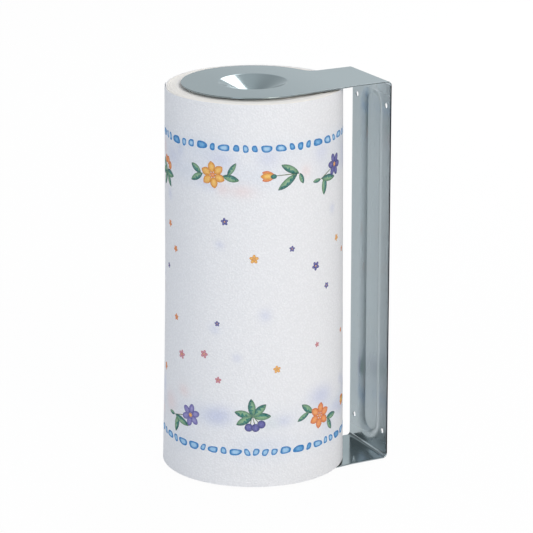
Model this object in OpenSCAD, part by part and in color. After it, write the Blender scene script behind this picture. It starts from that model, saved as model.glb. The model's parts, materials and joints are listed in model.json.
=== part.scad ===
// Wall-mounted paper towel holder: one bent sheet-steel bracket whose two round
// arm ends carry pressed cones, with a paper roll turning on the cones.
// The origin is the centre of the four wall holes, on the rear face of the back
// plate. +X points away from the wall, +Z is up, and the round arm ends lie
// towards -Y of the plate. All lengths are in millimetres, angles in degrees.

/* [Sheet steel] */
// Thickness of the steel sheet
sheet_t = 0.8; // [0.6:0.1:1.2]
// Inside radius of the two right-angle bends
bend_r = 2; // [1.5:0.5:3]

/* [Paper roll] */
// Height of the paper roll
roll_h = 230; // [200:5:280]
// Outer diameter of the full roll, with its outer sheet
roll_d = 106; // [94:1:130]
// Bore of the cardboard core
core_bore = 38; // [34:1:44]
// Wall thickness of the cardboard core
core_t = 1; // [0.6:0.1:2]
// Thickness of the loose outer sheet
wrap_t = 0.4; // [0.3:0.1:0.8]
// Part of its turn that the outer sheet leaves open at its free end
wrap_open = 8; // [4:1:20]
// Gap between the core, the wound paper and the outer sheet
wrap_gap = 0.05; // [0.02:0.01:0.1]

/* [Back plate] */
// Width of the back plate and of the arms where they leave it
plate_w = 45; // [42:1:56]
// Free space between the back plate and the paper roll
roll_gap = 18; // [14:1:30]

/* [Round arm ends] */
// Diameter of the round end of each arm
disc_d = 84; // [78:1:92]
// Sideways offset of the roll's axis from the centre line of the plate
axis_offset = 15; // [10:1:18]
// Radius of the hollow neck between an arm and its round end
neck_r = 8; // [5:1:12]
// Distance from the wall side of the plate at which the straight side flares
flare_start = 24; // [12:1:26]

/* [Cones] */
// How far the base of a cone reaches past the core's bore, all round
cone_margin = 1.5; // [1:0.25:3]
// Slope of the cone's side
cone_slope = 24; // [18:1:32]
// Radius of the rounded tip, on its outside
tip_r = 4; // [3:0.5:6]
// Inside radius of the fold round the base of the cone
base_fold_r = 1.5; // [1:0.5:3]
// Height by which the core's edge hangs clear of each cone
seat_gap = 0.4; // [0.3:0.1:1]

/* [Stiffening channel] */
// Width of the channel across its rims
channel_w = 21; // [17:0.5:23]
// Depth of the channel, which is pressed towards the wall
channel_depth = 2; // [1.5:0.25:3]
// Slope of the channel's walls
channel_slope = 30; // [25:1:50]
// Distance from each arm to the end of the channel
channel_end = 7; // [7:0.5:12]
// Radius of the soft fold round the channel's rim, on the rear face
channel_rim_r = 12; // [2:0.5:12]
// Inside radius of the fold round the channel's floor
channel_foot_r = 1; // [0.5:0.25:1.5]

/* [Wall holes] */
// Diameter of the four screw holes
hole_d = 3; // [2.5:0.5:4.5]
// Distance from a hole's centre to the side edge of the plate
hole_side = 5.5; // [4:0.25:6]
// Distance from a hole's centre to the arm next to it
hole_end = 15; // [12:1:30]

/* [Flexing arm] */
// Gap between the bracket and the top arm, at the line where the sheet flexes
flex_gap = 0.2; // [0.1:0.05:0.4]

/* [Hidden] */
$fn = 128;
fold_steps = 6;        // straight pieces in one rounded fold, an even number
lap = 1;               // how far joined parts of one sheet run into each other
past = 1;              // how far a cut runs past the surfaces that it opens
graze = 0.02;          // how far lines that would only touch are moved, to meet cleanly
free_end = -34;        // where the outer sheet's free end lies round the roll
steel = [0.70, 0.73, 0.75];
paper = [0.95, 0.95, 0.96];
board = [0.72, 0.60, 0.45];

core_r = core_bore / 2;
cone_r = core_r + cone_margin;
disc_r = disc_d / 2;
half_w = plate_w / 2;
axis = [sheet_t + roll_gap + roll_d / 2, -axis_offset];
seat_z = cone_margin * tan(cone_slope) + seat_gap;   // end of the roll to the arm there
reach_z = roll_h / 2 + seat_z;                       // middle height to each arm's face
bend_end = sheet_t + bend_r;                         // where the flat part of an arm starts
wound_r = roll_d / 2 - wrap_t - wrap_gap;            // outside of the tightly wound paper
// The channel's sloping wall has to have room for both of its folds
channel_wall = channel_depth / sin(channel_slope);
rim_r = min(channel_rim_r,
            channel_wall / tan(channel_slope / 2) - channel_foot_r - sheet_t - graze);
channel_reach = channel_w / 2 + rim_r * tan(channel_slope / 2);  // where the flat starts

// Direction from point a to point b
function towards(a, b) = (b - a) / norm(b - a);
// The direction d, turned a quarter turn to the left
function left_of(d) = [-d[1], d[0]];
// The angle from direction a to direction b, positive to the left
function turn(a, b) = atan2(a[0] * b[1] - a[1] * b[0], a * b);
// The vector v, turned by an angle
function turned(v, angle) = [v[0] * cos(angle) - v[1] * sin(angle),
                             v[0] * sin(angle) + v[1] * cos(angle)];
function reversed(list) = [for (i = [len(list) - 1:-1:0]) list[i]];

// One fold of a sheet, as an arc on the face that lies `lift` to the left of the path.
// r is the fold's inside radius.
function fold_arc(before, corner, after, r, lift) =
    let (d = towards(before, corner),
         angle = turn(d, towards(corner, after)),
         side = sign(angle),
         path_r = side > 0 ? r + sheet_t : r,
         centre = corner + (left_of(d) * side - d * tan(abs(angle) / 2)) * path_r,
         spoke = left_of(d) * side * (path_r - side * lift))
    [for (i = [0:fold_steps]) centre - turned(spoke, angle * i / fold_steps)];

// One face of a folded sheet. The path is a line of corners, with an inside radius each.
function sheet_face(path, radii, lift) =
    let (last = len(path) - 1)
    concat([path[0] + left_of(towards(path[0], path[1])) * lift],
           [for (i = [1:last - 1])
               each fold_arc(path[i - 1], path[i], path[i + 1], radii[i - 1], lift)],
           [path[last] + left_of(towards(path[last - 1], path[last])) * lift]);

// Section of a folded sheet, which lies to the left of the path
module sheet_section(path, radii) {
    polygon(concat(sheet_face(path, radii, 0), reversed(sheet_face(path, radii, sheet_t))));
}

// Flat outline of an arm: the strip, the round end, the hollow neck and the flared side
module arm_outline() {
    neck_y = -half_w - neck_r;
    neck = [axis[0] - sqrt(pow(disc_r + neck_r, 2) - pow(axis[1] - neck_y, 2)), neck_y];
    flare = [flare_start, half_w];
    span = norm(axis - flare);
    reach_r = disc_r - graze;
    flare_angle = turn([1, 0], axis - flare) + asin(reach_r / span);
    touch = flare + turned([sqrt(span * span - reach_r * reach_r), 0], flare_angle);
    translate([0, -half_w]) square([axis[0], plate_w]);
    translate(axis) circle(disc_r);
    polygon([flare, axis, touch]);
    difference() {
        polygon([neck + [0, neck_r], neck + towards(neck, axis) * neck_r, axis]);
        translate(neck) circle(neck_r);
    }
}

// Section of the pressed cone, from its axis out to the flat sheet round it
module cone_section() {
    tip = [0, cone_r * tan(cone_slope)];
    flat_r = cone_r + base_fold_r + lap;
    intersection() {
        sheet_section([[flat_r, 0], [cone_r, 0], tip, [-cone_r, 0]],
                      [base_fold_r, tip_r - sheet_t]);
        translate([0, -past - sheet_t]) square([flat_r, tip[1] + 2 * past + sheet_t]);
    }
}

// An arm whose upper face is z = 0, from x = start outwards, with its cone pointing up
module arm(start) {
    difference() {
        translate([0, 0, -sheet_t]) linear_extrude(sheet_t) arm_outline();
        translate([start - disc_d, -disc_d, -sheet_t - past])
            cube([disc_d, 2 * disc_d, sheet_t + 2 * past]);
        translate([axis[0], axis[1], -sheet_t - past])
            cylinder(r = cone_r + base_fold_r, h = sheet_t + 2 * past);
    }
    translate([axis[0], axis[1], 0]) rotate_extrude() cone_section();
}

// The quarter bend between the back plate and the lower arm
module bend() {
    translate([bend_end, 0, bend_r - reach_z]) rotate([90, 0, 0]) rotate([0, 0, 180])
        rotate_extrude(angle = 90)
            translate([bend_r, -half_w]) square([sheet_t, plate_w]);
}

// The stiffening channel's path on the rear face, from its middle to the flat sheet
function channel_path() =
    let (rim = channel_w / 2,
         foot = rim - channel_depth / tan(channel_slope))
    [[0, -channel_depth], [foot, -channel_depth], [rim, 0], [channel_reach + lap, 0]];

module channel() {
    half_path = channel_path();
    mirrored = [for (i = [3:-1:1]) [-half_path[i][0], half_path[i][1]]];
    cap_z = reach_z - channel_end - channel_w / 2;
    // Straight stretch: the section's first axis lies along Y, its second along X
    translate([0, 0, -cap_z]) linear_extrude(2 * cap_z) mirror([1, -1, 0])
        sheet_section(concat(mirrored, [for (i = [1:3]) half_path[i]]),
                      [rim_r, channel_foot_r, channel_foot_r, rim_r]);
    // Round end at the top, and its mirror image at the bottom
    for (flip = [0, 1]) mirror([0, 0, flip]) translate([0, 0, cap_z])
        rotate([90, 0, 90]) rotate_extrude(angle = 180)
            sheet_section(half_path, [channel_foot_r, rim_r]);
}

// The opening in the flat plate that the channel fills, seen from the front
module channel_opening() {
    cap_z = reach_z - channel_end - channel_w / 2;
    square([2 * channel_reach, 2 * cap_z], center = true);
    for (z = [-cap_z, cap_z]) translate([0, z]) circle(channel_reach);
}

module plate() {
    difference() {
        translate([0, -half_w, bend_r - reach_z])
            cube([sheet_t, plate_w, 2 * (reach_z - bend_r)]);
        translate([-past, 0, 0]) rotate([90, 0, 90])
            linear_extrude(sheet_t + 2 * past) channel_opening();
    }
    channel();
}

module wall_holes() {
    hole_y = half_w - hole_side;
    hole_z = reach_z - hole_end;
    for (y = [-hole_y, hole_y], z = [-hole_z, hole_z])
        translate([-past, y, z]) rotate([0, 90, 0])
            cylinder(d = hole_d, h = sheet_t + 2 * past, $fn = 48);
}

// Back plate, both bends and the lower arm: one bent sheet
module bracket() {
    color(steel) {
        difference() {
            plate();
            wall_holes();
        }
        bend();
        mirror([0, 0, 1]) bend();
        translate([0, 0, -reach_z]) arm(bend_end);
    }
}

// The upper arm of the same sheet, which springs open to take a roll
module top_arm() {
    color(steel) translate([0, 0, reach_z]) mirror([0, 0, 1]) arm(bend_end + flex_gap);
}

// A tube of the roll, as tall as the roll
module roll_tube(inner_r, outer_r, angle = 360) {
    translate([axis[0], axis[1], -roll_h / 2]) rotate([0, 0, free_end + (360 - angle) / 2])
        rotate_extrude(angle = angle)
            translate([inner_r, 0]) square([outer_r - inner_r, roll_h]);
}

module core_tube() {
    color(board) roll_tube(core_r, core_r + core_t);
}

module paper_roll() {
    color(paper) roll_tube(core_r + core_t + wrap_gap, wound_r);
}

module outer_sheet() {
    color(paper) roll_tube(roll_d / 2 - wrap_t, roll_d / 2, 360 - wrap_open);
}

bracket();
top_arm();
core_tube();
paper_roll();
outer_sheet();
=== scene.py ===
"""Looks of the paper towel holder: one bent steel sheet, and the paper roll on its cones.

Everything is in metres, in the frame of the CAD parts: the origin is the centre of the wall
holes on the plate's rear face, +X points away from the wall and +Z is up.
"""

import json
import math
import random

import bpy
import numpy as np
from mathutils import Matrix, Vector, geometry


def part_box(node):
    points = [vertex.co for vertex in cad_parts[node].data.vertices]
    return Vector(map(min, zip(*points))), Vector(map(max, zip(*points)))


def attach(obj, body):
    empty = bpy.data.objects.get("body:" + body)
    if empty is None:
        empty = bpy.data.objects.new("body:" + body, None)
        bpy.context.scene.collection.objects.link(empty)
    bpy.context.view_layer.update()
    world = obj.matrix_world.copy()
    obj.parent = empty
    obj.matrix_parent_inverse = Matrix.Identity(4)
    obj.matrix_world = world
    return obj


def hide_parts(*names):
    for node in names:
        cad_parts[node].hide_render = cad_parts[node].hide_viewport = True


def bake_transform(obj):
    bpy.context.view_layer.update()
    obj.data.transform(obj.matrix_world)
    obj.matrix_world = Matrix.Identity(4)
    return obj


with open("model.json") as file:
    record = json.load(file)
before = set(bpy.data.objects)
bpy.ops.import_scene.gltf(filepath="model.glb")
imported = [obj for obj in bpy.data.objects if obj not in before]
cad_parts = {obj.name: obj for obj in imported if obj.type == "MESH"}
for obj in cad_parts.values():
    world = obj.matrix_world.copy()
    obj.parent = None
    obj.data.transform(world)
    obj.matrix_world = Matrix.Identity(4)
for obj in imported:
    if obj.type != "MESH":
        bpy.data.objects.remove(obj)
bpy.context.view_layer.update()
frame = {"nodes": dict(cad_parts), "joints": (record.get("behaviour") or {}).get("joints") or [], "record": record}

MM = 0.001

# --- sizes --------------------------------------------------------------------------------
SHEET_T = 0.8 * MM
BEND_R = 2 * MM  # inside radius of the two right-angle bends
PLATE_W = 45 * MM
DISC_R = 42 * MM
NECK_R = 8 * MM
FLARE_X = 24 * MM  # where the arm's straight side starts to widen
CONE_R = 20.5 * MM
CONE_SLOPE = math.radians(24)
CONE_TIP_R = 4 * MM
CONE_FOLD_R = 1.5 * MM
CHANNEL_W = 21 * MM
CHANNEL_DEPTH = 2 * MM
CHANNEL_SLOPE = math.radians(30)
CHANNEL_END = 7 * MM
CHANNEL_RIM_R = 12 * MM  # the soft fold round the channel's rim
CHANNEL_FOOT_R = 1 * MM
EDGE_R = 0.28 * MM  # rounding of the sheet's cut edges
EDGE_STEPS = 3
CONE_STEPS = 96
MERGE = 1e-7  # corners nearer than this are one corner

joints = {j["name"]: j for j in frame["joints"]}
mounts = {m["name"]: m for m in frame["record"]["mounts"]}
AXIS = Vector(joints["roll_spin"]["pos_m"][:2])
REACH_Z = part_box("top_arm")[1][2] - SHEET_T  # middle height to an arm's inner face
FLOOR_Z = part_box("bracket")[0][2]
BEND_END = SHEET_T + BEND_R
HALF_W = PLATE_W / 2
holes = mounts["wall_holes"]["dims"]
HOLE_R = holes["hole_r_mm"] * MM
HOLE_Y = holes["spacing_x_mm"] * MM / 2
HOLE_Z = holes["spacing_y_mm"] * MM / 2


# --- mesh with exact normals --------------------------------------------------------------
class Skin:
    """Faces whose corners meet by position, and keep the normal that each one is given."""

    def __init__(self):
        self.index, self.points, self.faces, self.normals = {}, [], [], []

    def corner(self, point):
        key = tuple(round(c / MERGE) for c in point)
        if key not in self.index:
            self.index[key] = len(self.points)
            self.points.append(tuple(point))
        return self.index[key]

    def face(self, corners):
        """corners: (point, normal) pairs in order round the face, either way round."""
        ids, kept = [], []
        for point, normal in corners:
            i = self.corner(point)
            if i not in ids:
                ids.append(i)
                kept.append((Vector(point), Vector(normal)))
        if len(ids) < 3:
            return
        newell = Vector()
        for (a, _), (b, _) in zip(kept, kept[1:] + kept[:1]):
            newell += a.cross(b)
        if newell.dot(sum((n for _, n in kept), Vector())) < 0:
            ids.reverse()
            kept.reverse()
        self.faces.append(ids)
        self.normals += [n.normalized() for _, n in kept]

    def strip(self, row, other, closed=False):
        """Quads between two rows of (point, normal) pairs."""
        pairs = list(zip(row, other))
        if closed:
            pairs.append(pairs[0])
        for (a, b), (c, d) in zip(pairs, pairs[1:]):
            self.face([a, c, d, b])

    def build(self, name):
        mesh = bpy.data.meshes.new(name)
        mesh.from_pydata(self.points, [], self.faces)
        mesh.polygons.foreach_set("use_smooth", [True] * len(mesh.polygons))
        mesh.normals_split_custom_set(self.normals)
        obj = bpy.data.objects.new(name, mesh)
        bpy.context.scene.collection.objects.link(obj)
        return obj


def turned(v, angle):
    return Matrix.Rotation(angle, 2) @ v


def left_of(d):
    return Vector((-d.y, d.x))


def folded_face(path, radii, lift, steps):
    """One face of a folded sheet, as (point, left normal) pairs in 2D, from fold to fold.

    The path is the sheet's right-hand face, and the face lies `lift` to its left.
    """
    path = [Vector(p) for p in path]
    out = []
    for before, corner, after, r in zip(path, path[1:], path[2:], radii):
        d, e = (corner - before).normalized(), (after - corner).normalized()
        angle = math.atan2(d.x * e.y - d.y * e.x, d.dot(e))
        side = math.copysign(1, angle)
        path_r = r + SHEET_T if side > 0 else r
        centre = corner + (left_of(d) * side - d * math.tan(abs(angle) / 2)) * path_r
        for i in range(steps + 1):
            left = left_of(turned(d, angle * i / steps))
            out.append((centre - left * side * (path_r - side * lift), left))
    return out


# --- the bent sheet -----------------------------------------------------------------------
def arm_outline():
    """(point, outward normal) pairs round an arm, from the bend's +Y end to its -Y end."""
    step = math.radians(3)

    def arc(centre, r, start, end, inward=False):
        count = max(2, round(abs(end - start) / step))
        for i in range(count + 1):
            a = start + (end - start) * i / count
            out = Vector((math.cos(a), math.sin(a)))
            yield centre + out * r, -out if inward else out

    flare = Vector((FLARE_X, HALF_W))
    to_axis = AXIS - flare
    lean = math.atan2(to_axis.y, to_axis.x) + math.asin(DISC_R / to_axis.length)
    neck = Vector((0, -HALF_W - NECK_R))
    neck.x = AXIS.x - math.sqrt((DISC_R + NECK_R) ** 2 - (AXIS.y - neck.y) ** 2)
    to_neck = neck - AXIS
    neck_side = math.atan2(to_neck.y, to_neck.x)
    out = [(Vector((BEND_END, HALF_W)), Vector((0, 1))),
           (flare, turned(Vector((0, 1)), lean / 2))]
    out += arc(AXIS, DISC_R, math.pi / 2 + lean, neck_side)
    out += list(arc(neck, NECK_R, math.pi + neck_side, math.pi / 2, inward=True))[1:]
    out.append((Vector((BEND_END, -HALF_W)), Vector((0, -1))))
    return out


def edge_round(true_point, outward, front):
    """The rounded cut edge, as (point, normal) pairs from the front face to the back."""
    out = []
    quarter = [math.radians(90 * i / EDGE_STEPS) for i in range(EDGE_STEPS + 1)]
    for a in quarter:
        normal = outward * math.sin(a) + front * math.cos(a)
        out.append((true_point + (normal - outward - front) * EDGE_R, normal))
    for a in quarter:
        normal = outward * math.cos(a) - front * math.sin(a)
        out.append((true_point - front * (SHEET_T - EDGE_R)
                    + (normal - outward) * EDGE_R, normal))
    return out


def filled(skin, loops, place, normal):
    """A flat face with holes. loops: 2D points; place: turns one into a 3D point."""
    flat = [[Vector((p[0], p[1], 0)) for p in loop] for loop in loops]
    points = [p for loop in flat for p in loop]
    for tri in geometry.tessellate_polygon(flat):
        skin.face([(place(points[i]), normal) for i in tri])


def ring(centre, r, count=32):
    return [Vector((centre[0] + r * math.cos(2 * math.pi * i / count),
                    centre[1] + r * math.sin(2 * math.pi * i / count))) for i in range(count)]


CAP_Z = REACH_Z - CHANNEL_END - CHANNEL_W / 2  # where the channel's round ends start
CAP_STEPS = 24


def stadium(r):
    """(2D point in Y and Z, radial direction) pairs round the channel, at a radius r."""
    out = []
    for i in range(2 * CAP_STEPS + 2):
        end = 1 if i <= CAP_STEPS else -1
        a = math.pi * (i - (end < 0)) / CAP_STEPS
        radial = Vector((math.cos(a), math.sin(a)))
        out.append((radial * r + Vector((0, end * CAP_Z)), radial))
    return out


def channel(skin):
    """The pressed channel's folds and floor.

    Returns the loops where it joins the plate's front and rear faces.
    """
    rim = CHANNEL_W / 2
    foot = rim - CHANNEL_DEPTH / math.tan(CHANNEL_SLOPE)
    path = [(0, -CHANNEL_DEPTH), (foot, -CHANNEL_DEPTH), (rim, 0), (2 * rim, 0)]
    for lift, sign in ((0, -1), (SHEET_T, 1)):
        rows = []
        for point, left in folded_face(path, [CHANNEL_FOOT_R, CHANNEL_RIM_R], lift, steps=12):
            rows.append([
                (Vector((point.y, q.x, q.y)),
                 Vector((left.y, radial.x * left.x, radial.y * left.x)) * sign)
                for q, radial in stadium(point.x)])
        for a, b in zip(rows, rows[1:]):
            skin.strip(a, b, closed=True)
        skin.face(rows[0])
        if sign < 0:
            back_loop = [p.yz for p, _ in rows[-1]]
        else:
            front_loop = [p.yz for p, _ in rows[-1]]
    return front_loop, back_loop


def plate(skin):
    """The flat of the plate, its screw holes and the channel."""
    front_loop, back_loop = channel(skin)
    top = REACH_Z - BEND_R
    half = HALF_W - EDGE_R
    sides = [(-half, -top), (half, -top), (half, top), (-half, top)]
    centres = [(y, z) for y in (-HOLE_Y, HOLE_Y) for z in (-HOLE_Z, HOLE_Z)]
    bores = [ring(c, HOLE_R + EDGE_R) for c in centres]
    for x, loop, normal in ((SHEET_T, front_loop, (1, 0, 0)), (0, back_loop, (-1, 0, 0))):
        filled(skin, [sides, loop, *bores], lambda p, x=x: Vector((x, p.x, p.y)), normal)
    front = Vector((1, 0, 0))
    for c in centres:
        columns = []
        for p in ring(c, HOLE_R):
            inward = Vector((0, c[0] - p.x, c[1] - p.y)).normalized()
            columns.append(edge_round(Vector((SHEET_T, p.x, p.y)), inward, front))
        for a, b in zip(columns, columns[1:] + columns[:1]):
            skin.strip(a, b)


def bend(skin, up, steps=8):
    """The quarter bend at the plate's upper (up = 1) or lower (up = -1) end."""
    centre = Vector((BEND_END, 0, up * (REACH_Z - BEND_R)))
    rows = {}
    for i in range(steps + 1):
        a = math.pi / 2 * i / steps
        out = Vector((-math.cos(a), 0, up * math.sin(a)))
        for side in (-1, 1):
            edge = Vector((0, side * HALF_W, 0))
            rows.setdefault(side, []).append(
                edge_round(centre + out * BEND_R + edge, edge.normalized(), -out))
    for side in (-1, 1):
        for a, b in zip(rows[side], rows[side][1:]):
            skin.strip(a, b)
    for k in (0, -1):
        skin.strip([col[k] for col in rows[-1]], [col[k] for col in rows[1]])


def arm(skin, up):
    """The upper (up = 1) or lower (up = -1) arm, with its round end and cone."""
    def place(lift):
        return lambda p: Vector((p.x, p.y, up * (REACH_Z + lift)))

    front = Vector((0, 0, -up))
    outline = arm_outline()
    columns = [edge_round(place(0)(p), Vector((o.x, o.y, 0)), front) for p, o in outline]
    for a, b in zip(columns, columns[1:]):
        skin.strip(a, b)

    flat_r = CONE_R + CONE_FOLD_R + SHEET_T
    path = [(2 * flat_r, 0), (CONE_R, 0), (0, CONE_R * math.tan(CONE_SLOPE)), (-CONE_R, 0)]
    for lift, sign, k in ((0, -1, 0), (SHEET_T, 1, -1)):
        profile = [(p, n) for p, n in
                   folded_face(path, [CONE_FOLD_R, CONE_TIP_R - SHEET_T], lift, steps=8)
                   if p.x > -1e-9]
        rows = []
        for p, left in profile:
            rows.append([])
            for i in range(CONE_STEPS):
                a = 2 * math.pi * i / CONE_STEPS
                out = Vector((math.cos(a), math.sin(a), 0))
                rows[-1].append((
                    Vector((AXIS.x, AXIS.y, up * REACH_Z)) + out * max(p.x, 0)
                    + front * p.y,
                    (out * left.x + front * left.y) * sign))
        for a, b in zip(rows, rows[1:]):
            skin.strip(a, b, closed=True)
        edge = [col[k][0].xy for col in columns]
        mouth = [p.xy for p, _ in rows[0]]
        filled(skin, [edge, mouth], place(lift), front * -sign)


def bent_sheet():
    skin = Skin()
    plate(skin)
    for up in (-1, 1):
        bend(skin, up)
        arm(skin, up)
    return skin.build("bent_sheet")


# --- the paper roll -----------------------------------------------------------------------
core_low, core_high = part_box("core_tube")
wound_low, wound_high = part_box("paper_roll")
outer_low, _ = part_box("outer_sheet")
ROLL_H = wound_high.z - wound_low.z
WOUND_R = (wound_high.y - wound_low.y) / 2
CORE_R = (core_high.y - core_low.y) / 2
OUTER_R = joints["roll_spin"]["pos_m"][1] - outer_low.y
WRAP_T = 0.4 * MM
FREE_END = math.radians(-34)  # where the outer sheet's free end lies round the roll
TUCK = math.radians(14)  # how far the sheet runs on under its own free end
SHEET_TURN = 2 * math.pi + TUCK
SHEET_LENGTH = SHEET_TURN * OUTER_R
TAPER = 0.7 * MM  # how much wider the soft roll is at its bottom than at its middle
FLARE = 3.6 * MM  # makes the loose free end stand out by 2 mm at the roll's bottom
FLARE_WIDTH = math.radians(110)
SAG_TOP = 0.3 * MM  # how far the free end stands out at the roll's top
SAG_WIDTH = math.radians(50)
GAP = 1 * MM  # how far the sheet's upper edge stands off a little way round from its end
GAP_AT, GAP_WIDTH = math.radians(36), math.radians(15)
BULGE = 0.8 * MM  # the soft roll's skin is moved towards the plate, and in by half of it
BULGE_WAY = math.radians(152)
RIPPLE = 0.1 * MM  # unevenness all over the sheet


def smooth(x):
    x = np.clip(x, 0, 1)
    return x * x * (3 - 2 * x)


def taper_at(z):
    """How far the paper's skin lies outside its mean radius, at a height."""
    return -TAPER * z / (ROLL_H / 2)


def bulge_at(angle):
    """How far the paper's skin lies outside a round roll's, at an angle round the axis."""
    return BULGE * np.cos(angle - BULGE_WAY) - BULGE / 2


def sheet_at(s, z, lift=0.0):
    """Points on the outer sheet: s runs along it from its free end, lift is outwards."""
    s, z = np.asarray(s, float), np.asarray(z, float)
    psi = s / OUTER_R
    low = np.clip(0.08 - 1.16 * z / ROLL_H, 0, 1) ** 1.4  # grows from the middle down
    gap = np.exp(-((psi - GAP_AT) / GAP_WIDTH) ** 2)
    loose = (FLARE * low * (1 - smooth(psi / FLARE_WIDTH))
             + SAG_TOP * (1 - low) * (1 - smooth(psi / SAG_WIDTH))
             + GAP * gap * smooth(z / (ROLL_H / 2)))
    angle = FREE_END + psi
    ripple = RIPPLE * np.sin(3.1 * psi + 21 * z) * np.sin(11 * z + 5 * psi)
    r = (OUTER_R - WRAP_T * psi / (2 * math.pi) + taper_at(z) + loose + bulge_at(angle)
         + ripple + lift)
    return np.stack([AXIS.x + r * np.cos(angle), AXIS.y + r * np.sin(angle),
                     z + 0 * r], axis=-1)


# --- print on the paper -------------------------------------------------------------------
def linear(red, green, blue):
    """A colour of 0 to 255 per channel, as a linear colour."""
    return np.array([c / 12.92 if c <= 0.04045 else ((c + 0.055) / 1.055) ** 2.4
                     for c in (red / 255, green / 255, blue / 255)])


TURN_LENGTH = 2 * math.pi * OUTER_R
BAND_TOP, BAND_BOTTOM = 89.6 * MM, -93.4 * MM
BEADS = 47  # in one band
SPRIGS = 8  # in one row
SPRIG_SCALE = 1.15
BLOSSOMS = 40
GHOSTS, GHOST_SHARE = 90, 0.45  # blurred motifs of the layers beneath
TINT_SHARE = 0.34  # and of their bands

PAPER = linear(240, 240, 241)
BLUE = [(0, linear(206, 226, 242)), (0.45, linear(160, 204, 236)),
        (0.78, linear(6, 118, 186)), (1, linear(24, 134, 198))]
BLUE_PALE = [(0, linear(150, 196, 232)), (0.45, linear(92, 164, 216)),
             (0.78, linear(4, 110, 180)), (1, linear(34, 140, 200))]
LEAF = [(0, linear(74, 146, 132)), (0.6, linear(48, 120, 108)), (1, linear(28, 86, 82))]
LEAF_LIGHT = [(0, linear(160, 190, 144)), (0.6, linear(122, 168, 130)),
              (1, linear(78, 120, 90))]
PURPLE = [(0, linear(130, 128, 190)), (0.6, linear(92, 92, 160)), (1, linear(56, 56, 118))]
LILAC = [(0, linear(176, 170, 214)), (0.6, linear(130, 124, 186)),
         (1, linear(88, 84, 150))]
ORANGE = [(0, linear(250, 186, 112)), (0.6, linear(238, 144, 78)),
          (1, linear(208, 104, 50))]
YELLOW = [(0, linear(250, 212, 122)), (0.6, linear(242, 180, 80)),
          (1, linear(208, 128, 50))]
PINK = [(0, linear(226, 170, 176)), (1, linear(190, 108, 124))]
STEM = [(0, linear(128, 140, 96)), (1, linear(96, 110, 74))]


class Blot:
    """A convex patch of ink. Sizes are in metres on the unrolled sheet."""

    def __init__(self, outline, inks, other_inks=None, rib=None):
        self.outline = np.array(outline)
        self.centre = self.outline.mean(axis=0)
        self.inks, self.other_inks, self.rib = inks, other_inks or inks, rib
        edge = np.roll(self.outline, -1, axis=0) - self.outline
        self.outs = np.stack([edge[:, 1], -edge[:, 0]], axis=1)
        self.reach = (self.outs * (self.outline - self.centre)).sum(axis=1)

    def enlarged(self, at, factor):
        return Blot(np.array(at) + (self.outline - at) * factor, self.inks, self.other_inks,
                    self.rib)

    def rings(self):
        """The outline, then two coarser loops inside it that carry the paler inks."""
        yield self.outline
        for share, every in ((0.8, 2), (0.45, 3)):
            count = max(5, len(self.outline) // every)
            picks = np.linspace(0, len(self.outline), count, endpoint=False).astype(int)
            yield self.centre + (self.outline[picks] - self.centre) * share

    def colour(self, point, inside):
        """The ink at a point of a small face whose middle is `inside`."""
        share = float(np.clip((self.outs @ (point - self.centre) / self.reach).max(), 0, 1))
        inks = self.inks
        if self.rib is not None:
            off = inside - self.centre
            if self.rib[0] * off[1] - self.rib[1] * off[0] < 0:
                inks = self.other_inks
        at = [a for a, _ in inks]
        return np.array([np.interp(share, at, [c[k] for _, c in inks]) for k in range(3)])


def lens(base, angle, length, width, inks, other_inks=None, point=0.8, count=18):
    """A leaf or petal that grows from base at an angle. point: 1 is sharp, 0.5 is round."""
    along = np.array([math.cos(angle), math.sin(angle)])
    across = np.array([-along[1], along[0]])
    outline = []
    for i in range(count):
        a = 2 * math.pi * i / count
        u = (1 - math.cos(a)) / 2
        v = math.copysign(abs(math.sin(a)) ** (2 * point), math.sin(a)) / 2
        outline.append(base + along * u * length - across * v * width)
    outline = np.array(outline)
    if outline_area(outline) < 0:
        outline = outline[::-1]
    return Blot(outline, inks, other_inks, along if other_inks else None)


def outline_area(p):
    q = np.roll(p, -1, axis=0)
    return float((p[:, 0] * q[:, 1] - p[:, 1] * q[:, 0]).sum()) / 2


def disc(centre, r, inks, count):
    a = np.arange(count) * 2 * math.pi / count
    return Blot(np.array(centre) + r * np.stack([np.cos(a), np.sin(a)], axis=1), inks)


def stem(start, end, width=0.5 * MM):
    start, end = np.array(start), np.array(end)
    along = (end - start) / np.linalg.norm(end - start)
    across = np.array([-along[1], along[0]]) * width / 2
    return Blot([start - across, end - across * 0.6, end + across * 0.6, start + across],
                STEM)


def blossom(centre, size, petals, inks, middle, turn, share, point=0.55):
    """Petals round a middle. share sets how much of its sector each petal fills."""
    centre = np.array(centre)
    out = []
    for i in range(petals):
        a = turn + 2 * math.pi * i / petals
        start = centre + 0.08 * size * np.array([math.cos(a), math.sin(a)])
        out.append(lens(start, a, size * 0.46, size * share * 2.4 / petals, inks,
                        point=point, count=14))
    return out + [disc(centre, size * 0.1, middle, 8)]


def leaf(base, angle, length, share=0.4):
    """A leaf with one light and one dark half."""
    return lens(np.array(base), angle, length, length * share, LEAF, LEAF_LIGHT, count=20)


def daisy_sprig(at, way, rng):
    """A round blossom with a pair of leaves."""
    at = np.array(at)
    side = np.array([math.cos(way), math.sin(way)])
    return ([stem(at, at + side * 13 * MM),
             leaf(at + side * 9 * MM, way + 1.1, 10 * MM),
             leaf(at + side * 12 * MM, way + math.pi - 0.5, 12 * MM, 0.3),
             leaf(at + side * 12.5 * MM, way - 0.3, 5.5 * MM)]
            + blossom(at - side * 1 * MM, 11.5 * MM, 6, rng.choice([PURPLE, LILAC]), YELLOW,
                      rng.random(), share=0.8))


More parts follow.
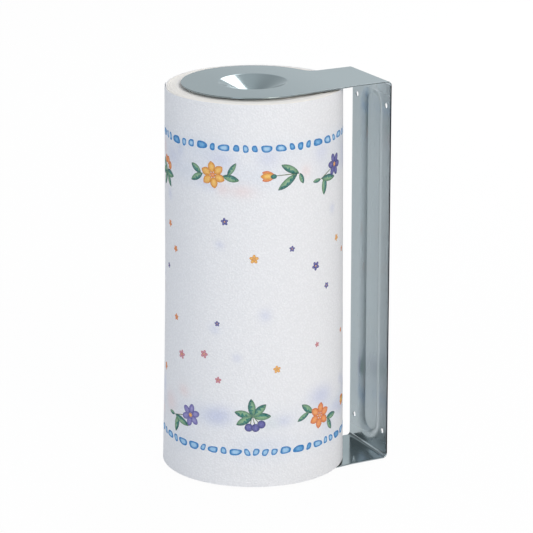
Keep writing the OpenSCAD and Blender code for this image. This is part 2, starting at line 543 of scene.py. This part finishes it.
def star_sprig(at, way, rng):
    """A pointed blossom between two pairs of leaves."""
    at = np.array(at)
    side = np.array([math.cos(way), math.sin(way)])
    return ([stem(at, at - side * 11 * MM), stem(at, at + side * 9 * MM),
             leaf(at + side * 6 * MM, way + 0.55, 8.5 * MM),
             leaf(at + side * 7 * MM, way - 0.6, 7.5 * MM, 0.45),
             leaf(at - side * 5.5 * MM, way + math.pi - 0.2, 9 * MM),
             leaf(at - side * 8 * MM, way + math.pi + 1.0, 8.5 * MM, 0.32)]
            + blossom(at, 13 * MM, 6, rng.choice([YELLOW, ORANGE]), ORANGE, rng.random(),
                      point=0.85, share=0.85))


def bud_sprig(at, way, rng):
    """A closed bud on a stem, with long leaves."""
    at = np.array(at)
    side = np.array([math.cos(way), math.sin(way)])
    up = np.array([-side[1], side[0]])
    return [stem(at - side * 9 * MM, at + side * 5 * MM, 0.6 * MM),
            leaf(at - side * 8 * MM, way + 0.62, 13 * MM, 0.3),
            leaf(at - side * 9 * MM, way - 0.5, 11 * MM, 0.34),
            leaf(at - side * 9.5 * MM, way + 1.9, 6 * MM, 0.45),
            lens(at + side * 4 * MM, way + 0.32, 7 * MM, 3 * MM, ORANGE),
            lens(at + side * 4 * MM, way - 0.32, 7 * MM, 3 * MM, ORANGE),
            lens(at + side * 4 * MM, way, 7.5 * MM, 3.4 * MM, YELLOW, point=0.65),
            lens(at + side * 3 * MM + up * 0.3 * MM, way, 3.4 * MM, 2.6 * MM, LEAF,
                 point=0.6, count=12)]


def berry_sprig(at, way, rng):
    """Three berries under a fan of leaves."""
    at = np.array(at)
    side = np.array([math.cos(way), math.sin(way)])
    up = np.array([-side[1], side[0]])
    inks = rng.choice([PURPLE, ORANGE])
    out = [stem(at + side * k * 2.6 * MM, at + up * 6 * MM) for k in (-1, 0, 1)]
    out += [disc(at + side * k * 3.3 * MM - up * (1.2 - abs(k)) * MM, 2.2 * MM, inks, 14)
            for k in (-1, 1, 0)]
    out += [leaf(at + up * 5 * MM, way + a, 9.5 * MM, 0.42)
            for a in (-0.25, 0.5, 1.4, 2.65, 3.4)]
    return out


def bead_band(z, rng):
    """A row of uneven pebbles all round the sheet, each with a pale middle."""
    out = []
    widths = [rng.choice([3.4, 3.8, 4.4, 6.6, 7.4]) for _ in range(BEADS)]
    spare = TURN_LENGTH / MM - sum(widths)
    s = 1.2
    for w in widths:
        middle = np.array([(s + w / 2) * MM, z + rng.uniform(-0.25, 0.25) * MM])
        lean, count = rng.uniform(-0.35, 0.35), 14 if w < 5 else 18
        height = rng.uniform(3.9, 4.7)
        a = np.arange(count) * 2 * math.pi / count
        shape = 1 + 0.07 * np.cos(3 * a + rng.uniform(0, 6))
        box = np.stack([np.sign(np.cos(a)) * np.abs(np.cos(a)) ** 0.75 * w / 2,
                        np.sign(np.sin(a)) * np.abs(np.sin(a)) ** 0.8 * height / 2], axis=1)
        box *= shape[:, None] * MM
        box[:, 0] += box[:, 1] * lean
        out.append(Blot(middle + box, rng.choice([BLUE, BLUE, BLUE_PALE])))
        s += w + spare / len(widths)
    return out


def pattern():
    """Every patch of ink, the later ones on top."""
    rng = random.Random(7)
    out = bead_band(BAND_TOP, rng) + bead_band(BAND_BOTTOM, rng)
    kinds = [berry_sprig, star_sprig, bud_sprig, daisy_sprig]
    rows = ((BAND_TOP - 15.5 * MM, 22 * MM), (BAND_BOTTOM + 18 * MM, 4 * MM))
    for row, (z, start) in enumerate(rows):
        for i in range(SPRIGS):
            at = (start + TURN_LENGTH * (i + rng.uniform(-0.1, 0.1)) / SPRIGS,
                  z + rng.uniform(-1.5, 1.5) * MM)
            way = rng.uniform(-0.5, 0.5) + (math.pi if rng.random() < 0.5 else 0)
            kind = kinds[(i + 2 * row) % len(kinds)]
            if 16 * MM < at[0] < TURN_LENGTH - 14 * MM:
                out += [b.enlarged(at, SPRIG_SCALE) for b in kind(at, way, rng)]
    placed = []
    while len(placed) < BLOSSOMS:
        at = np.array([rng.uniform(5 * MM, TURN_LENGTH - 5 * MM),
                       rng.uniform(BAND_BOTTOM + 36 * MM, BAND_TOP - 33 * MM)])
        if all(np.linalg.norm(at - p) > 14 * MM for p in placed):
            placed.append(at)
            inks = rng.choice([ORANGE, ORANGE, YELLOW, PURPLE, PINK])
            size = rng.uniform(3.2, 5.4) * MM
            out += blossom(at, size, 5, inks, YELLOW, rng.random(), share=0.75)
    return out


def show_through(points):
    """The paper's colour, with the pale blurred print of the layers beneath."""
    rng = random.Random(11)
    colour = np.tile(PAPER, (len(points), 1))
    s, z = points[:, 0], points[:, 1]
    for row, width in ((BAND_TOP - 3 * MM, 8 * MM), (BAND_TOP - 17 * MM, 7 * MM),
                       (BAND_BOTTOM + 3 * MM, 8 * MM), (BAND_BOTTOM + 20 * MM, 7 * MM)):
        phase = rng.uniform(0, 6)
        wave = 0.5 + 0.5 * np.sin(s / (11 * MM) + phase) * np.sin(s / (29 * MM) + 2 * phase)
        share = TINT_SHARE * wave * np.exp(-((z - row) / width) ** 2)
        colour += share[:, None] * (linear(200, 212, 232) - colour)
    for _ in range(GHOSTS):
        band = rng.random()
        if band < 0.3:
            height = BAND_TOP - rng.uniform(4, 26) * MM
        elif band < 0.6:
            height = BAND_BOTTOM + rng.uniform(4, 32) * MM
        else:
            height = rng.uniform(BAND_BOTTOM, BAND_TOP)
        at = np.array([rng.uniform(0, SHEET_LENGTH), height])
        small = band > 0.6
        size = (np.array([rng.uniform(2.2, 3.6), rng.uniform(2.2, 3.6)]) if small else
                np.array([rng.uniform(4, 9), rng.uniform(3, 6)])) * MM
        tint = rng.choice([linear(200, 206, 232), linear(204, 210, 234),
                           linear(206, 218, 222), linear(242, 214, 210)])
        share = GHOST_SHARE * np.exp(-(((points - at) / size) ** 2).sum(axis=1))
        colour += share[:, None] * (tint - colour)
    return colour


S_STEPS, Z_STEPS = 190, 100  # the sheet's grid, along it and up it


def outer_sheet():
    """The outermost sheet, with its print cut into the mesh as coloured faces."""
    blots = pattern()
    s_row = np.linspace(0, SHEET_LENGTH, S_STEPS + 1)
    z_row = np.linspace(wound_low.z, wound_high.z, Z_STEPS + 1)
    points = [(s, z) for s in s_row for z in z_row]
    edges, faces = [], []

    def loop(row):
        first = len(points)
        points.extend(map(tuple, row))
        return list(range(first, len(points)))

    for blot in blots:
        rings = [loop(r) for r in blot.rings()]
        faces.append(rings[0])
        for ids in rings[1:]:
            edges += zip(ids, ids[1:] + ids[:1])
    rim = [0, Z_STEPS, (S_STEPS + 1) * (Z_STEPS + 1) - 1, S_STEPS * (Z_STEPS + 1)]
    edges += zip(rim, rim[1:] + rim[:1])
    found = geometry.delaunay_2d_cdt([Vector(p) for p in points], edges, faces, 0, MERGE)
    flat, tris, owners = np.array([tuple(v) for v in found[0]]), found[2], found[5]

    grey = show_through(flat)
    outside = sheet_at(flat[:, 0], flat[:, 1])
    grid = np.array([(s, z) for s in s_row for z in z_row])
    inside = sheet_at(grid[:, 0], grid[:, 1], -WRAP_T)
    n = len(flat)

    mesh_faces, colours = [], []
    for tri, owner in zip(tris, owners):
        mesh_faces.append(tuple(tri))
        if owner:
            blot, middle = blots[max(owner)], flat[list(tri)].mean(axis=0)
            colours += [blot.colour(flat[i], middle) for i in tri]
        else:
            colours += [grey[i] for i in tri]

    def cell(i, j):
        return n + i * (Z_STEPS + 1) + j

    for i in range(S_STEPS):
        for j in range(Z_STEPS):
            mesh_faces.append((cell(i, j), cell(i, j + 1), cell(i + 1, j + 1),
                               cell(i + 1, j)))
    # the cut edges join each face's rim, point by point
    where = {tuple(np.round(p, 6)): i for i, p in enumerate(flat)}

    def front(i, j):
        return where[tuple(np.round(grid[i * (Z_STEPS + 1) + j], 6))]

    border = ([(i, 0) for i in range(S_STEPS)] + [(S_STEPS, j) for j in range(Z_STEPS)]
              + [(i, Z_STEPS) for i in range(S_STEPS, 0, -1)]
              + [(0, j) for j in range(Z_STEPS, 0, -1)])
    for a, b in zip(border, border[1:] + border[:1]):
        mesh_faces.append((front(*a), cell(*a), cell(*b), front(*b)))
    plain = len(mesh_faces) - len(tris)
    colours += [PAPER] * (4 * plain)

    mesh = bpy.data.meshes.new("outer_sheet_printed")
    mesh.from_pydata(np.concatenate([outside, inside]).tolist(), [], mesh_faces)
    mesh.polygons.foreach_set("use_smooth", [True] * len(mesh.polygons))
    ink = mesh.color_attributes.new("Ink", "FLOAT_COLOR", "CORNER")
    rgba = np.ones((len(colours), 4), np.float32)
    rgba[:, :3] = colours
    ink.data.foreach_set("color", rgba.ravel())
    mesh.set_sharp_from_angle(angle=math.radians(50))
    obj = bpy.data.objects.new("outer_sheet_printed", mesh)
    bpy.context.scene.collection.objects.link(obj)
    return obj


WOUND_STEPS = 144
GROOVE = 0.09 * MM  # between two layers of the wound paper
WAVE = 0.1 * MM  # how far a layer strays from its circle


def wound_paper():
    """The tightly wound paper: end faces with the edges of its layers standing unevenly."""
    rng = random.Random(3)
    layers = []
    r = CORE_R + 0.05 * MM
    while r < WOUND_R - 0.9 * MM:
        layers.append((r, rng.uniform(-0.32, 0.0) * MM))
        r += rng.uniform(0.5, 1.3) * MM
    layers.append((WOUND_R - 0.35 * MM, -0.2 * MM))
    profile = []
    for k, (r, dz) in enumerate(layers):
        profile.append((r, dz))
        if k + 1 < len(layers):
            profile.append((layers[k + 1][0] - GROOVE, dz))
    verts, faces = [], []

    def add_ring(r, z, wave):
        first = len(verts)
        for i in range(WOUND_STEPS):
            a = 2 * math.pi * i / WOUND_STEPS
            rr = r + wave * math.sin(2 * a + 90 * r)
            if r > WOUND_R - 2 * MM:
                rr += taper_at(z)
            rr += bulge_at(a) * smooth((r - CORE_R) / (WOUND_R - CORE_R))
            verts.append((AXIS.x + rr * math.cos(a), AXIS.y + rr * math.sin(a), z))
        return first

    waves = [0, *[WAVE] * (len(profile) - 2), 0]
    ends = list(zip(profile, waves))
    rings = [add_ring(r, wound_low.z - dz, wave) for (r, dz), wave in ends]
    rings += [add_ring(WOUND_R, wound_low.z + 0.5 * MM, 0),
              add_ring(WOUND_R, wound_high.z - 0.5 * MM, 0)]
    rings += [add_ring(r, wound_high.z + dz, wave) for (r, dz), wave in reversed(ends)]
    for a, b in zip(rings, rings[1:] + rings[:1]):
        for i in range(WOUND_STEPS):
            j = (i + 1) % WOUND_STEPS
            faces.append((a + i, a + j, b + j, b + i))
    mesh = bpy.data.meshes.new("wound_paper")
    mesh.from_pydata(verts, [], faces)
    mesh.polygons.foreach_set("use_smooth", [True] * len(faces))
    mesh.set_sharp_from_angle(angle=math.radians(35))
    obj = bpy.data.objects.new("wound_paper", mesh)
    bpy.context.scene.collection.objects.link(obj)
    return obj


# --- materials ----------------------------------------------------------------------------
# the second colour is painted reflection: a paler steel that stands for light which the steel mirrors
STEEL, STEEL_PAINTED_REFLECTION = linear(166, 178, 181), linear(188, 198, 201)
# the first colour is painted shade, standing for the shade in the gaps between the roll's layers
PAPER_GAP_SHADE, PAPER_EDGES = linear(212, 202, 188), linear(249, 246, 240)
BOARD_DARK, BOARD_PALE = linear(176, 152, 120), linear(200, 180, 150)
BOARD_SEAM = linear(138, 116, 88)
SEAM_TURNS = 14  # in a metre of the core
SEAM_SHARE = 0.035  # of a turn


class Graph:
    """A material with a Principled shader, and short ways to add nodes to it."""

    def __init__(self, name, **sockets):
        self.material = bpy.data.materials.new(name)
        self.material.use_nodes = True
        self.tree = self.material.node_tree
        self.shader = self.tree.nodes["Principled BSDF"]
        for key, value in sockets.items():
            self.set(self.shader, key.replace("_", " "), value)

    def set(self, node, key, value):
        socket = node.inputs[key]
        if isinstance(value, bpy.types.NodeSocket):
            self.tree.links.new(value, socket)
        elif socket.type == "RGBA" and len(value) == 3:
            socket.default_value = (*value, 1)
        else:
            socket.default_value = value

    def node(self, kind, values=(), **settings):
        node = self.tree.nodes.new(kind)
        for key, value in settings.items():
            setattr(node, key, value)
        for key, value in dict(values).items():
            self.set(node, key, value)
        return node

    def math(self, operation, *values):
        return self.node("ShaderNodeMath", enumerate(values), operation=operation).outputs[0]

    def noise(self, vector, scale, detail=2.0, roughness=0.5):
        return self.node("ShaderNodeTexNoise", {
            "Vector": vector, "Scale": scale, "Detail": detail, "Roughness": roughness,
        }).outputs["Fac"]

    def span(self, value, low, high, to_low=0.0, to_high=1.0):
        return self.node("ShaderNodeMapRange", {
            "Value": value, "From Min": low, "From Max": high, "To Min": to_low,
            "To Max": to_high}).outputs[0]

    def mix(self, share, a, b, blend="MIX"):
        node = self.node("ShaderNodeMix", data_type="RGBA", blend_type=blend)
        # the node's sockets for colours: share, A, B and the result
        self.set(node, 0, share)
        self.set(node, 6, a if isinstance(a, bpy.types.NodeSocket) else (*a, 1))
        self.set(node, 7, b if isinstance(b, bpy.types.NodeSocket) else (*b, 1))
        return node.outputs[2]

    def grey(self, value):
        return self.node("ShaderNodeCombineColor",
                         {"Red": value, "Green": value, "Blue": value}).outputs[0]

    def bump(self, height, distance, strength=1.0, normal=None):
        values = {"Height": height, "Distance": distance, "Strength": strength}
        if normal is not None:
            values["Normal"] = normal
        return self.node("ShaderNodeBump", values).outputs[0]

    def place(self, stretch=(1, 1, 1)):
        where = self.node("ShaderNodeTexCoord").outputs["Object"]
        return self.node("ShaderNodeMapping", {"Vector": where, "Scale": stretch}).outputs[0]


def steel_material():
    """Satin steel, duller on the plate than on the arms, with painted reflection: its colour is painted paler
    towards the wall, and below the upper arm darker except towards +Y.
    """
    g = Graph("satin_steel", Metallic=1.0)
    where = g.place()
    grain = g.noise(g.place((1, 1, 0.05)), scale=2600, detail=3, roughness=0.6)
    x, y, z = g.node("ShaderNodeSeparateXYZ", {"Vector": where}).outputs
    # painted reflection: the colour is painted paler towards the wall, and below the upper arm darker except
    # towards +Y, to stand for what the steel mirrors there
    plate_painted_reflection = g.span(y, 4 * MM, 18 * MM, 0.4, 1)
    painted_reflection = g.math("MULTIPLY", g.span(x, AXIS.x + 20 * MM, AXIS.x - 40 * MM),
                   g.span(z, REACH_Z - 6 * MM, REACH_Z - 1 * MM, plate_painted_reflection, 1))
    g.set(g.shader, "Base Color", g.mix(painted_reflection, STEEL, STEEL_PAINTED_REFLECTION))
    dull = g.span(g.math("ABSOLUTE", z), REACH_Z - 9 * MM, REACH_Z - 3 * MM, 0.15, 0)
    g.set(g.shader, "Roughness", g.math("ADD", g.span(grain, 0.3, 0.7, 0.12, 0.16), dull))
    waves = g.bump(g.noise(g.place(), scale=14, detail=1), 0.5 * MM, 0.25)
    g.set(g.shader, "Normal", g.bump(grain, 0.002 * MM, 0.4, waves))
    return g.material


def pebbles(g):
    """The height of kitchen paper's soft embossing, from 0 between pebbles to 1."""
    where = g.place()
    cells = g.node("ShaderNodeTexVoronoi", {"Vector": where, "Scale": 820, "Smoothness": 0.6},
                   feature="SMOOTH_F1").outputs["Distance"]
    fibres = g.noise(where, scale=2600, detail=3, roughness=0.6)
    return g.math("ADD", g.span(cells, 0.15, 0.6, 0.8, 0), g.math("MULTIPLY", fibres, 0.4))


def printed_paper_material():
    """Embossed paper in the colours that the mesh carries, with painted shade: darker between the pebbles of its
    embossing.
    """
    g = Graph("printed_paper", Roughness=0.85)
    g.set(g.shader, "Specular IOR Level", 0.25)
    ink = g.node("ShaderNodeAttribute", attribute_name="Ink").outputs["Color"]
    mottle = g.noise(g.place(), scale=900, detail=3, roughness=0.6)
    height = pebbles(g)
    colour = g.mix(g.span(mottle, 0.35, 0.75, 0, 0.16), ink, PAPER)
    # painted shade: the colour is darker in the hollows between the embossed pebbles and a touch lighter on their
    # tops
    shade = g.span(height, 0.2, 0.9, 0.95, 1.01)
    g.set(g.shader, "Base Color", g.mix(1.0, colour, g.grey(shade), "MULTIPLY"))
    g.set(g.shader, "Normal", g.bump(height, 0.18 * MM, 0.8))
    return g.material


def layered_paper_material():
    """The roll's ends, where the winding shows as fine rings: painted shade in the gaps between the layers, and
    broader bands of uneven tone.
    """
    g = Graph("layered_paper", Roughness=0.9)
    g.set(g.shader, "Specular IOR Level", 0.2)
    x, y, _ = g.node("ShaderNodeSeparateXYZ", {"Vector": g.place()}).outputs
    dx, dy = g.math("SUBTRACT", x, AXIS.x), g.math("SUBTRACT", y, AXIS.y)
    r = g.math("SQRT", g.math("ADD", g.math("MULTIPLY", dx, dx), g.math("MULTIPLY", dy, dy)))
    angle = g.math("ARCTAN2", dy, dx)
    turns = g.math("MULTIPLY", angle, WRAP_T / (2 * math.pi))
    winding = g.node("ShaderNodeCombineXYZ", {"X": g.math("ADD", r, turns)}).outputs[0]
    layers = g.noise(winding, scale=2300, detail=1)
    bands = g.noise(winding, scale=420, detail=2)
    # painted shade: the fine rings are painted darker to stand for shade in the gaps between layers; the broad
    # bands are uneven tone
    shade = g.math("MULTIPLY", g.span(layers, 0.3, 0.7, 0.8, 1),
                   g.span(bands, 0.3, 0.7, 0.86, 1))
    g.set(g.shader, "Base Color", g.mix(shade, PAPER_GAP_SHADE, PAPER_EDGES))
    g.set(g.shader, "Normal", g.bump(layers, 0.25 * MM, 0.5))
    return g.material


def cardboard_material():
    """The core's brown board, with the dark seam of its spiral winding."""
    g = Graph("core_board", Roughness=0.85)
    where = g.place()
    fibres = g.noise(where, scale=500, detail=4, roughness=0.65)
    x, y, z = g.node("ShaderNodeSeparateXYZ", {"Vector": where}).outputs
    angle = g.math("ARCTAN2", g.math("SUBTRACT", y, AXIS.y), g.math("SUBTRACT", x, AXIS.x))
    spiral = g.math("ADD", g.math("MULTIPLY", z, SEAM_TURNS),
                    g.math("DIVIDE", angle, 2 * math.pi))
    seam = g.math("LESS_THAN", g.math("FRACT", spiral), SEAM_SHARE)
    board = g.mix(g.span(fibres, 0.3, 0.7), BOARD_DARK, BOARD_PALE)
    g.set(g.shader, "Base Color", g.mix(seam, board, BOARD_SEAM))
    g.set(g.shader, "Normal", g.bump(fibres, 0.15 * MM, 0.4))
    return g.material


def dress(obj, material):
    obj.data.materials.clear()
    obj.data.materials.append(material)


# --- the pieces ---------------------------------------------------------------------------
steel = bent_sheet()
dress(steel, steel_material())
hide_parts("bracket", "top_arm")
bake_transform(steel)

sheet = outer_sheet()
dress(sheet, printed_paper_material())
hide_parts("outer_sheet")
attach(sheet, "roll")

wound = wound_paper()
dress(wound, layered_paper_material())
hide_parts("paper_roll")
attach(wound, "roll")

dress(frame["nodes"]["core_tube"], cardboard_material())


# --- studio -------------------------------------------------------------------------------
FRONT_AZIMUTH = 62  # the direction of the camera, from +X
FLOOR_FRONT, FLOOR_SIDE = 0.45, 3  # how far the floor reaches, forwards and other ways
FLOOR_SEEN, FLOOR_MIRRORED = 0.97, 0.5  # the share of even white in the floor's look
BACKDROP_AZIMUTH = -130
BACKDROP_EDGE = 0.4  # cosine of the angle at which the mirrored backdrop fades out
BACKDROP_LEVEL, ROOM_LEVEL = 0.72, 0.2
OVERHEAD_DIM = 0.05  # the share by which both are darker overhead
ROOM_COLOUR, ROOM_LIGHT = (0.89, 0.93, 1.0, 1), 0.63
MIRRORED_COLOUR = (0.9, 0.97, 1.0, 1)
CAMERA_AT = (0.82476, 1.42313, 0.49573)
CAMERA_YAW, CAMERA_PITCH = -2.058, 0.294
CAMERA_LENS = 193.1


def studio_floor():
    """A pale table that ends a little in front of the object, where the room is darker."""
    front = Matrix.Rotation(math.radians(FRONT_AZIMUTH), 2)
    mesh = bpy.data.meshes.new("studio_floor")
    corners = [Vector(c) for c in ((-FLOOR_SIDE, -FLOOR_SIDE), (FLOOR_FRONT, -FLOOR_SIDE),
                                   (FLOOR_FRONT, FLOOR_SIDE), (-FLOOR_SIDE, FLOOR_SIDE))]
    mesh.from_pydata([(*(front @ c), FLOOR_Z) for c in corners], [], [(0, 1, 2, 3)])
    obj = bpy.data.objects.new("studio_floor", mesh)
    bpy.context.scene.collection.objects.link(obj)
    g = Graph("pale_floor", Roughness=0.9)
    g.set(g.shader, "Base Color", (0.82, 0.82, 0.82))
    glow = g.node("ShaderNodeEmission", {"Color": (1, 1, 1), "Strength": 1.0})
    path = g.node("ShaderNodeLightPath").outputs
    share = g.math("MAXIMUM", g.math("MULTIPLY", path["Is Camera Ray"], FLOOR_SEEN),
                   g.math("MULTIPLY", path["Is Glossy Ray"], FLOOR_MIRRORED))
    blend = g.node("ShaderNodeMixShader", {
        0: share, 1: g.shader.outputs[0], 2: glow.outputs[0]})
    out = g.tree.nodes["Material Output"]
    g.tree.links.new(blend.outputs[0], out.inputs["Surface"])
    dress(obj, g.material)


def softbox(name, azimuth, elevation, distance, size, watts, colour=(1, 1, 1)):
    """An area lamp that looks at the object from an azimuth (from +X) and an elevation."""
    light = bpy.data.lights.new(name, "AREA")
    light.shape, light.size, light.size_y = "RECTANGLE", *size
    light.energy, light.color = watts, colour
    obj = bpy.data.objects.new(name, light)
    bpy.context.scene.collection.objects.link(obj)
    a, e = math.radians(azimuth), math.radians(elevation)
    back = Vector((math.cos(a) * math.cos(e), math.sin(a) * math.cos(e), math.sin(e)))
    obj.location = Vector((AXIS.x, AXIS.y, 0)) + back * distance
    obj.rotation_mode = "QUATERNION"
    obj.rotation_quaternion = (-back).to_track_quat("-Z", "Y")
    obj.visible_camera = False


def studio_world():
    """Soft light from all round, a white backdrop, and a darker room for metal to mirror."""
    world = bpy.data.worlds.new("studio")
    bpy.context.scene.world = world
    world.use_nodes = True
    tree = world.node_tree
    tree.nodes.clear()

    def node(kind, *values, **settings):
        made = tree.nodes.new(kind)
        for key, value in settings.items():
            setattr(made, key, value)
        for socket, value in zip(made.inputs, values):
            if isinstance(value, bpy.types.NodeSocket):
                tree.links.new(value, socket)
            elif value is not None:
                socket.default_value = value
        return made.outputs

    def calc(operation, *values, clamp=False):
        return node("ShaderNodeMath", *values, operation=operation, use_clamp=clamp)[0]

    towards = node("ShaderNodeTexCoord")["Generated"]
    x, y, z = node("ShaderNodeSeparateXYZ", towards)
    a = math.radians(BACKDROP_AZIMUTH)
    along = calc("ADD", calc("MULTIPLY", x, math.cos(a)), calc("MULTIPLY", y, math.sin(a)))
    flat = calc("SQRT", calc("ADD", calc("MULTIPLY", x, x), calc("MULTIPLY", y, y)))
    facing = calc("SUBTRACT", calc("DIVIDE", along, flat), BACKDROP_EDGE)
    facing = calc("DIVIDE", facing, 1 - BACKDROP_EDGE, clamp=True)
    level = calc("MULTIPLY_ADD", calc("POWER", facing, 1.5), BACKDROP_LEVEL - ROOM_LEVEL,
                 ROOM_LEVEL)
    height = calc("DIVIDE", calc("SUBTRACT", z, 0.3), 0.6, clamp=True)
    level = calc("MULTIPLY", level, calc("MULTIPLY_ADD", height, -OVERHEAD_DIM, 1.0))
    room = node("ShaderNodeBackground", ROOM_COLOUR, ROOM_LIGHT)[0]
    mirrored = node("ShaderNodeBackground", MIRRORED_COLOUR, level)[0]
    white = node("ShaderNodeBackground", (1, 1, 1, 1), 1.0)[0]
    path = node("ShaderNodeLightPath")
    seen = node("ShaderNodeMixShader", path["Is Glossy Ray"], room, mirrored)[0]
    seen = node("ShaderNodeMixShader", path["Is Camera Ray"], seen, white)[0]
    node("ShaderNodeOutputWorld", seen)


def camera():
    data = bpy.data.cameras.new("camera")
    data.sensor_width, data.lens = 36, CAMERA_LENS
    data.clip_start, data.clip_end = 0.01, 50
    obj = bpy.data.objects.new("camera", data)
    bpy.context.scene.collection.objects.link(obj)
    obj.location = CAMERA_AT
    yaw, pitch = CAMERA_YAW, CAMERA_PITCH
    aim = Vector((math.cos(yaw) * math.cos(pitch), math.sin(yaw) * math.cos(pitch),
                  -math.sin(pitch)))
    obj.rotation_mode = "QUATERNION"
    obj.rotation_quaternion = aim.to_track_quat("-Z", "Y")
    bpy.context.scene.camera = obj


studio_floor()
softbox("key", azimuth=95, elevation=32, distance=1.6, size=(0.45, 0.6), watts=7.6,
        colour=(1.0, 0.92, 0.82))
softbox("fill", azimuth=38, elevation=32, distance=1.6, size=(0.45, 0.6), watts=4.0,
        colour=(0.82, 0.9, 1.0))
# from the camera, the channel mirrors the back lamp as a white wedge, and not the low one
softbox("back", azimuth=-141, elevation=40, distance=1.5, size=(0.6, 0.64), watts=3.6)
softbox("low", azimuth=-146, elevation=8, distance=1.5, size=(0.35, 0.4), watts=7.0)
studio_world()
camera()
bpy.context.scene.view_settings.view_transform = "Standard"
